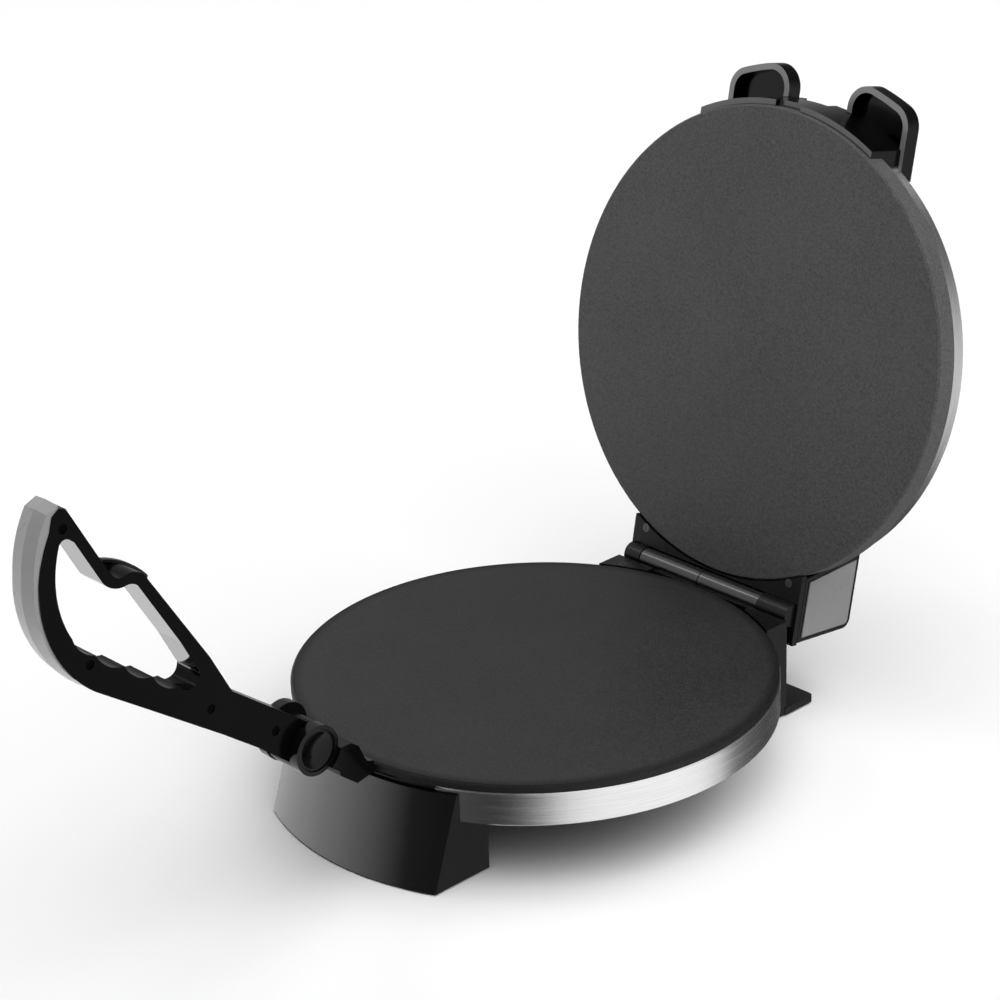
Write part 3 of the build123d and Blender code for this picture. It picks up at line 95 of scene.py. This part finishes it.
def ramp(tree, factor, *stops):
    node = tree.nodes.new("ShaderNodeValToRGB")
    tree.links.new(factor, node.inputs["Fac"])
    elements = node.color_ramp.elements
    while len(elements) < len(stops):
        elements.new(0.5)
    for element, (place, value) in zip(elements, stops):
        element.position = place
        colour = (value, value, value) if isinstance(value, float) else value
        element.color = (*colour, 1)
    return node.outputs["Color"]


def grain(tree, coordinate, scale, detail=3.0, roughness=0.55):
    node = add_node(tree, "TexNoise", Scale=scale, Detail=detail, Roughness=roughness)
    tree.links.new(coordinate, node.inputs["Vector"])
    return node.outputs["Fac"]


def object_coordinates(tree):
    return tree.nodes.new("ShaderNodeTexCoord").outputs["Object"]


def axis_distance(tree, parts):
    """How far a place lies from the Z axis of its frame."""
    flat = add_node(tree, "CombineXYZ", X=parts.outputs["X"], Y=parts.outputs["Y"])
    radius = add_node(tree, "VectorMath", {"operation": "LENGTH"}, Vector=flat.outputs["Vector"])
    return radius.outputs["Value"]


def bump(tree, shader, height, strength, distance):
    node = add_node(tree, "Bump", Height=height, Strength=strength, Distance=distance)
    tree.links.new(node.outputs["Normal"], shader.inputs["Normal"])


# --- materials -------------------------------------------------------------------
def plastic(name, base, rough, spread=0.05, coat=0.0, pores=0.02, tone=0.2, shine=0.5):
    """Moulded plastic: faint tone drift, uneven polish and a fine skin texture."""
    material, tree, shader = new_material(name)
    place = object_coordinates(tree)
    drift = grain(tree, place, 22.0, 4.0)
    low = tuple(c * (1 - tone) for c in base)
    high = tuple(min(1.0, c * (1 + tone)) for c in base)
    tree.links.new(ramp(tree, drift, (0.3, low), (0.7, high)), shader.inputs["Base Color"])
    smear = grain(tree, place, 60.0, 6.0, 0.65)
    levels = ramp(tree, smear, (0.25, rough - spread), (0.75, rough + spread))
    tree.links.new(levels, shader.inputs["Roughness"])
    shader.inputs["Specular IOR Level"].default_value = shine
    shader.inputs["Coat Weight"].default_value = coat
    shader.inputs["Coat Roughness"].default_value = 0.05
    bump(tree, shader, grain(tree, place, 2600.0, 2.0), pores, 0.0004)
    return material


def nonstick(name, base, spread, rim_start=0.0, rim_end=0.0):
    """Speckled matte coating on cast aluminium, with painted shade darkening it towards the rim where one is
    given.
    """
    material, tree, shader = new_material(name)
    place = object_coordinates(tree)
    fine = grain(tree, place, 520.0, 3.0, 0.75)
    cells = add_node(tree, "TexVoronoi", Scale=620.0)
    tree.links.new(place, cells.inputs["Vector"])
    flecks = ramp(tree, cells.outputs["Distance"], (0.12, 1.0), (0.42, 0.0))
    mixed = math_node(tree, "ADD", math_node(tree, "MULTIPLY", flecks, 0.35), fine)
    cloud = grain(tree, place, 14.0, 3.0)
    mixed = math_node(tree, "ADD", mixed, math_node(tree, "MULTIPLY", cloud, 0.25))
    tone = ramp(tree, mixed, (0.45, base - spread), (0.875, base + spread))
    if rim_end:
        parts = add_node(tree, "SeparateXYZ", Vector=place)
        across = add_node(tree, "MapRange", Value=axis_distance(tree, parts))
        across.inputs["From Min"].default_value = rim_start
        across.inputs["From Max"].default_value = rim_end
        darker = add_node(tree, "VectorMath", {"operation": "SCALE"})
        tree.links.new(tone, darker.inputs[0])
        fade = math_node(tree, "SUBTRACT", 1.0, math_node(tree, "MULTIPLY", across.outputs["Result"], 0.75))
        tree.links.new(fade, darker.inputs["Scale"])
        tone = darker.outputs["Vector"]
    tree.links.new(tone, shader.inputs["Base Color"])
    tree.links.new(ramp(tree, fine, (0.3, 0.52), (0.7, 0.66)), shader.inputs["Roughness"])
    shader.inputs["Specular IOR Level"].default_value = 0.35
    bump(tree, shader, mixed, 0.22, 0.0006)
    return material


def frame_place(tree, origin, angle):
    """Object coordinates measured in a frame that is turned about X, such as the open lid's."""
    moved = add_node(tree, "VectorMath", {"operation": "SUBTRACT"})
    tree.links.new(object_coordinates(tree), moved.inputs[0])
    moved.inputs[1].default_value = origin
    turned = add_node(tree, "VectorRotate", {"rotation_type": "X_AXIS"}, Angle=angle)
    tree.links.new(moved.outputs["Vector"], turned.inputs["Vector"])
    return turned.outputs["Vector"]


def brushed(name, origin=(0, 0, 0), angle=0.0, rough=0.2, tone=0.60):
    """Spun stainless sheet: fine streaks that follow the circumference, on its rim and on its flat face."""
    material, tree, shader = new_material(name)
    parts = add_node(tree, "SeparateXYZ", Vector=frame_place(tree, origin, angle))
    around = math_node(tree, "ARCTAN2", parts.outputs["Y"], parts.outputs["X"])
    across = math_node(tree, "ADD", parts.outputs["Z"], axis_distance(tree, parts))
    streak = add_node(tree, "CombineXYZ", X=math_node(tree, "MULTIPLY", around, 6.0))
    tree.links.new(math_node(tree, "MULTIPLY", across, 4200.0), streak.inputs["Y"])
    lines = grain(tree, streak.outputs["Vector"], 1.0, 5.0, 0.7)
    wide = add_node(tree, "CombineXYZ", X=math_node(tree, "MULTIPLY", around, 2.0))
    tree.links.new(math_node(tree, "MULTIPLY", across, 700.0), wide.inputs["Y"])
    bands = grain(tree, wide.outputs["Vector"], 1.0, 2.0)
    narrow_share = math_node(tree, "MULTIPLY", lines, 0.7)
    wide_share = math_node(tree, "MULTIPLY", bands, 0.3)
    both = math_node(tree, "ADD", narrow_share, wide_share)
    low, high = (tone * 0.86,) * 3, (min(1.0, tone * 1.14),) * 3
    tree.links.new(ramp(tree, both, (0.3, low), (0.7, high)), shader.inputs["Base Color"])
    levels = ramp(tree, both, (0.3, rough - 0.06), (0.7, rough + 0.08))
    tree.links.new(levels, shader.inputs["Roughness"])
    shader.inputs["Metallic"].default_value = 1.0
    shader.inputs["Anisotropic"].default_value = 0.5
    bump(tree, shader, lines, 0.12, 0.0002)
    return material


def metal(name, base, rough, speck=0.04):
    """Plain hardware: drawn or plated metal with faint handling marks."""
    material, tree, shader = new_material(name)
    place = object_coordinates(tree)
    marks = grain(tree, place, 700.0, 5.0, 0.7)
    low = tuple(c * 0.85 for c in base)
    high = tuple(min(1.0, c * 1.12) for c in base)
    tree.links.new(ramp(tree, marks, (0.3, low), (0.7, high)), shader.inputs["Base Color"])
    tree.links.new(ramp(tree, marks, (0.3, rough - speck), (0.7, rough + speck)), shader.inputs["Roughness"])
    shader.inputs["Metallic"].default_value = 1.0
    bump(tree, shader, marks, 0.08, 0.0002)
    return material


LID_NORMAL = Vector((0, math.sin(OPEN_ANGLE), math.cos(OPEN_ANGLE)))
LID_CENTRE = HINGE + Vector((0, -HINGE.y * math.cos(OPEN_ANGLE), HINGE.y * math.sin(OPEN_ANGLE)))
black_gloss = plastic("black_gloss", (0.003, 0.003, 0.0032), 0.15, 0.03, 0.0, 0.015, shine=0.2)
foot_gloss = plastic("foot_gloss", (0.003, 0.003, 0.003), 0.14, 0.02, 1.0, 0.008)
black_satin = plastic("black_satin", (0.006, 0.006, 0.0062), 0.3, 0.06, 0.0, 0.05, shine=0.2)
hinge_black = plastic("hinge_black", (0.007, 0.007, 0.0072), 0.26, 0.05, 0.3, 0.04)
lever_black = plastic("lever_black", (0.002, 0.002, 0.0021), 0.2, 0.04, 0.0, 0.02, shine=0.05)
# A duller copy of the foot's gloss plastic for its side faces: painted shade, as these faces reflect the
# shaded floor.
foot_side_painted_shade = plastic("foot_side_painted_shade", (0.003, 0.003, 0.003), 0.2, 0.03, 0.0, 0.01, shine=0.12)
# A lighter, glossier copy of the lever's plastic for the walls inside its grip opening: a painted bright
# reflection.
lever_inner_painted_sheen = plastic("lever_inner_painted_sheen", (0.01, 0.01, 0.01), 0.12, 0.03, 1.0, 0.01, shine=1.0)
grey_satin = plastic("grey_satin", (0.27, 0.27, 0.27), 0.30, 0.05, 0.5, 0.04, 0.06)
panel_grey = plastic("panel_grey", (0.24, 0.24, 0.245), 0.30, 0.05, 0.3, 0.04, 0.06)
plate_coat = nonstick("plate_coat", 0.090, 0.030)
# The lower plate's coating: a darker copy of the upper plate's as painted shade, and darker still towards
# its rim as painted shade.
lower_coat_painted_shade = nonstick("lower_coat_painted_shade", 0.026, 0.011, 0.1415, 0.1475)
band_steel = brushed("band_steel", tone=0.82)
lid_steel = brushed("lid_steel", tuple(LID_CENTRE), OPEN_ANGLE, tone=0.92)
lid_disc = brushed("lid_disc", tuple(LID_CENTRE), OPEN_ANGLE, rough=0.26, tone=0.62)
plain_steel = metal("plain_steel", (0.50, 0.50, 0.51), 0.3)
bright_sheet = metal("bright_sheet", (0.75, 0.75, 0.75), 0.2)
sheath = metal("sheath", (0.30, 0.27, 0.22), 0.42)
brass = metal("brass", (0.65, 0.48, 0.22), 0.3)
black_steel = metal("black_steel", (0.05, 0.05, 0.052), 0.36)
screw_steel = metal("screw_steel", (0.09, 0.09, 0.092), 0.3)
# The lever's screws get near-black, dull plastic so they show as dark holes: painted shade.
screw_painted_shade = plastic("screw_painted_shade", (0.001, 0.001, 0.001), 0.4, 0.05, 0.0, 0.02, shine=0.03)
# Grey for the tabs' rim faces on the plate side: a painted reflection on the black plastic.
tab_edge_painted_sheen = plastic("tab_edge_painted_sheen", (0.28, 0.28, 0.28), 0.2, 0.03, 0.6, 0.01, 0.05)
# Dark grey for the front housing's faces on the plate side: a painted reflection on the black plastic.
housing_edge_painted_sheen = plastic("housing_edge_painted_sheen", (0.07, 0.07, 0.07), 0.2, 0.03, 0.6, 0.01, 0.05)
rubber = plastic("rubber", (0.022, 0.022, 0.022), 0.75, 0.08, 0.0, 0.3)
phenolic = plastic("phenolic", (0.045, 0.03, 0.025), 0.5, 0.05, 0.0, 0.1)
lens_red = plastic("lens_red", (0.35, 0.012, 0.010), 0.12, 0.02, 1.0, 0.0)

FINISHES = {
    "base_housing": black_satin,
    "base_bottom_cover": black_satin,
    "base_cover_screws": black_steel,
    "base_steel_band": band_steel,
    "lower_hot_plate": lower_coat_painted_shade,
    "lower_plate_screws": plain_steel,
    "lower_heating_element": sheath,
    "lower_element_clamps": plain_steel,
    "lower_reflector": bright_sheet,
    "lower_thermostat": phenolic,
    "lower_thermal_fuse": plain_steel,
    "terminal_block": phenolic,
    "front_foot": foot_gloss,
    "rear_foot": black_satin,
    "rubber_pads": rubber,
    "cord_inlet": rubber,
    "base_hinge_screws": screw_steel,
    "hinge_barrel_left": hinge_black,
    "hinge_barrel_right": hinge_black,
    "hinge_pin": plain_steel,
    "pivot_bracket": black_gloss,
    "lever_pivot_pin": plain_steel,
    "pivot_cap_right": black_gloss,
    "pivot_cap_left": black_gloss,
    "upper_hot_plate": plate_coat,
    "upper_heating_element": sheath,
    "upper_element_clamps": plain_steel,
    "upper_thermal_fuse": plain_steel,
    "upper_reflector": bright_sheet,
    "lid_steel_shell": lid_steel,
    "lid_shell_screws": black_steel,
    "lid_front_housing": black_gloss,
    "lid_tab_right": black_gloss,
    "lid_tab_left": black_gloss,
    "lid_hinge_bracket": black_satin,
    "lid_hinge_screws": screw_steel,
    "lid_rear_housing": black_gloss,
    "rear_panel_right": panel_grey,
    "rear_panel_left": panel_grey,
    "indicator_lenses": lens_red,
    "lid_spine": black_gloss,
    "lid_press_boss": black_satin,
    "lever_shell_right": lever_black,
    "lever_shell_left": lever_black,
    "lever_screws": screw_painted_shade,
    "lever_back_strip": grey_satin,
    "lever_press_cam": black_satin,
    "lever_pivot_bush": brass,
}
BEVELS = {
    "base_bottom_cover": 0.0005,
    "base_steel_band": 0.0002,
    "lower_hot_plate": 0.0004,
    "upper_hot_plate": 0.0004,
    "front_foot": 0.0009,
    "rear_foot": 0.0008,
    "rubber_pads": 0.0005,
    "cord_inlet": 0.0005,
    "base_hinge_screws": 0.0002,
    "lid_hinge_screws": 0.0002,
    "hinge_barrel_left": 0.0006,
    "hinge_barrel_right": 0.0006,
    "pivot_bracket": 0.0010,
    "pivot_cap_right": 0.0006,
    "pivot_cap_left": 0.0006,
    "lid_front_housing": 0.0010,
    "lid_tab_right": 0.0012,
    "lid_tab_left": 0.0012,
    "lid_hinge_bracket": 0.0006,
    "lid_rear_housing": 0.0010,
    "rear_panel_right": 0.0003,
    "rear_panel_left": 0.0003,
    "indicator_lenses": 0.0005,
    "lid_spine": 0.0018,
    "lid_press_boss": 0.0015,
    "lever_shell_right": 0.0009,
    "lever_shell_left": 0.0009,
    "lever_screws": 0.0002,
    "lever_back_strip": 0.0005,
    "lever_press_cam": 0.0004,
}


BEVEL_ANGLE = math.radians(32)


def bevel(piece, width, segments=3):
    edge = piece.modifiers.new("bevel", "BEVEL")
    edge.width = width
    edge.segments = segments
    edge.limit_method = "ANGLE"
    edge.angle_limit = BEVEL_ANGLE
    edge.use_clamp_overlap = True
    edge.harden_normals = False
    edge.miter_outer = "MITER_ARC"


for name, material in FINISHES.items():
    mesh = nodes[name].data
    mesh.materials.clear()
    mesh.materials.append(material)


def second_finish(name, material, chosen):
    """Gives a second material to the faces of a node for which chosen(centre, normal) holds."""
    mesh = nodes[name].data
    mesh.materials.append(material)
    for face in mesh.polygons:
        if chosen(face.center, face.normal):
            face.material_index = 1


def lid_height(centre):
    return (centre - LID_CENTRE).dot(LID_NORMAL)


def painted_reflection_stretch(centre, normal):
    """The stretch of the steel band above the front foot, painted black: a painted dark reflection of the
    shaded floor beside the foot.
    """
    return centre.y < -0.1 and abs(centre.x) < 0.061


def tab_rim(centre, normal):
    return normal.dot(LID_NORMAL) < -0.9 and lid_height(centre) < TAB_RIM


# The front foot's faces other than its front take the duller copy, as painted shade.
second_finish("front_foot", foot_side_painted_shade, lambda centre, normal: normal.y > -0.85)
# The band's stretch above the front foot gets black plastic as a painted dark reflection.
second_finish("base_steel_band", black_gloss, painted_reflection_stretch)
second_finish("lid_steel_shell", lid_disc, lambda centre, normal: normal.dot(LID_NORMAL) > 0.9)
# The tabs' rim faces on the plate side take the grey as a painted reflection.
second_finish("lid_tab_right", tab_edge_painted_sheen, tab_rim)
second_finish("lid_tab_left", tab_edge_painted_sheen, tab_rim)
# The front housing's faces on the plate side take the dark grey as a painted reflection.
second_finish("lid_front_housing", housing_edge_painted_sheen, lambda centre, normal: normal.dot(LID_NORMAL) < -0.9)
# The lever's walls inside the grip opening take the glossier copy as a painted reflection.
for side in ("right", "left"):
    second_finish(
        "lever_shell_" + side,
        lever_inner_painted_sheen,
        lambda centre, normal: abs(normal.x) < 0.3 and centre.y < GRIP_REAR and normal.z < 0.1,
    )
for face in nodes["lever_back_strip"].data.polygons:
    face.use_smooth = True
for name, width in BEVELS.items():
    bevel(nodes[name], width)


# --- stage -----------------------------------------------------------------------
FLOOR_REACH = 14
FLOOR_GAP = 0.0002
SKY = 2.15
SKY_MIDDLE = Vector((0.35, 0.2, 0.92)).normalized()
SKY_EDGE = (0.55, 0.85)
# What shines sees these surroundings instead of the white that the camera sees: degrees from -Y
# towards +X, and the brightness there, with a dark stretch at the front and one at the back.
SURROUNDINGS = (
    (-180, 0.05),
    (-150, 0.1),
    (-115, 0.9),
    (-60, 1.25),
    (-41, 1.1),
    (-26, 0.75),
    (-8, 0.10),
    (24, 0.02),
    (35, 0.04),
    (46, 0.2),
    (59, 0.8),
    (73, 1.0),
    (124, 1.05),
    (136, 0.85),
    (149, 0.12),
    (180, 0.05),
)


def ray_kinds(tree, *kinds):
    """1 for the kinds of ray that are named, 0 for the rest."""
    rays = tree.nodes.new("ShaderNodeLightPath")
    total = rays.outputs["Is " + kinds[0] + " Ray"]
    for kind in kinds[1:]:
        total = math_node(tree, "MAXIMUM", total, rays.outputs["Is " + kind + " Ray"])
    return total


def mix_shaders(tree, factor, first, second):
    mix = tree.nodes.new("ShaderNodeMixShader")
    tree.links.new(factor, mix.inputs["Fac"])
    tree.links.new(first, mix.inputs[1])
    tree.links.new(second, mix.inputs[2])
    return mix.outputs["Shader"]


def make_floor():
    mesh = bpy.data.meshes.new("floor")
    shape = bmesh.new()
    reach, drop = FLOOR_REACH, -FLOOR_GAP
    corners = ((-reach, -reach), (reach, -reach), (reach, reach), (-reach, reach))
    shape.faces.new([shape.verts.new((x, y, drop)) for x, y in corners])
    shape.to_mesh(mesh)
    shape.free()
    floor = bpy.data.objects.new("floor", mesh)
    bpy.context.scene.collection.objects.link(floor)
    material, tree, shader = new_material("floor_white")
    shader.inputs["Base Color"].default_value = (0.97, 0.97, 0.97, 1)
    shader.inputs["Roughness"].default_value = 0.9
    shader.inputs["Specular IOR Level"].default_value = 0.0
    clear = tree.nodes.new("ShaderNodeBsdfTransparent")
    surface = mix_shaders(tree, ray_kinds(tree, "Glossy"), shader.outputs["BSDF"], clear.outputs["BSDF"])
    tree.links.new(surface, tree.nodes["Material Output"].inputs["Surface"])
    mesh.materials.append(material)


def make_world():
    """An overhead sky lights the object. The camera and what is clear see plain white. What
    shines doesn't: it sees SURROUNDINGS, so steel has dark and light stretches round its rim."""
    world = bpy.data.worlds.new("studio")
    bpy.context.scene.world = world
    world.use_nodes = True
    tree = world.node_tree
    world.cycles.sampling_method = "NONE"
    direction = tree.nodes.new("ShaderNodeTexCoord").outputs["Generated"]
    way = add_node(tree, "SeparateXYZ", Vector=direction)
    toward = add_node(tree, "VectorMath", {"operation": "DOT_PRODUCT"})
    tree.links.new(direction, toward.inputs[0])
    toward.inputs[1].default_value = SKY_MIDDLE
    sky = tree.nodes["Background"]
    low, high = SKY_EDGE
    tree.links.new(ramp(tree, toward.outputs["Value"], (low, 0.0), (high, 1.0)), sky.inputs["Color"])
    sky.inputs["Strength"].default_value = SKY
    white = add_node(tree, "Background", Color=(1, 1, 1, 1), Strength=1.0)
    forward = math_node(tree, "MULTIPLY", way.outputs["Y"], -1.0)
    turn = math_node(tree, "ARCTAN2", way.outputs["X"], forward)
    share = math_node(tree, "ADD", math_node(tree, "DIVIDE", turn, 2 * math.pi), 0.5)
    stops = [(angle / 360 + 0.5, level) for angle, level in SURROUNDINGS]
    around = add_node(tree, "Background", Color=ramp(tree, share, *stops), Strength=1.0)
    glossy = ray_kinds(tree, "Glossy")
    lit = mix_shaders(tree, glossy, sky.outputs["Background"], around.outputs["Background"])
    shown = mix_shaders(tree, ray_kinds(tree, "Camera", "Transmission"), lit, white.outputs["Background"])
    tree.links.new(shown, tree.nodes["World Output"].inputs["Surface"])


def make_light(name, place, target, size, power):
    lamp = bpy.data.lights.new(name, "AREA")
    lamp.shape = "RECTANGLE"
    lamp.size, lamp.size_y = size
    lamp.energy = power
    holder = bpy.data.objects.new(name, lamp)
    bpy.context.scene.collection.objects.link(holder)
    holder.location = place
    aim = Vector(target) - Vector(place)
    holder.rotation_euler = aim.to_track_quat("-Z", "Y").to_euler()


make_floor()
make_world()
make_light("key", (-1.4, -0.6, 1.8), (0, 0, 0.1), (0.3, 0.5), 2.5)
make_light("rim", (0.5, 1.9, 1.6), (0, 0, 0.15), (0.8, 0.2), 2.5)
bpy.context.scene.view_settings.view_transform = "Standard"
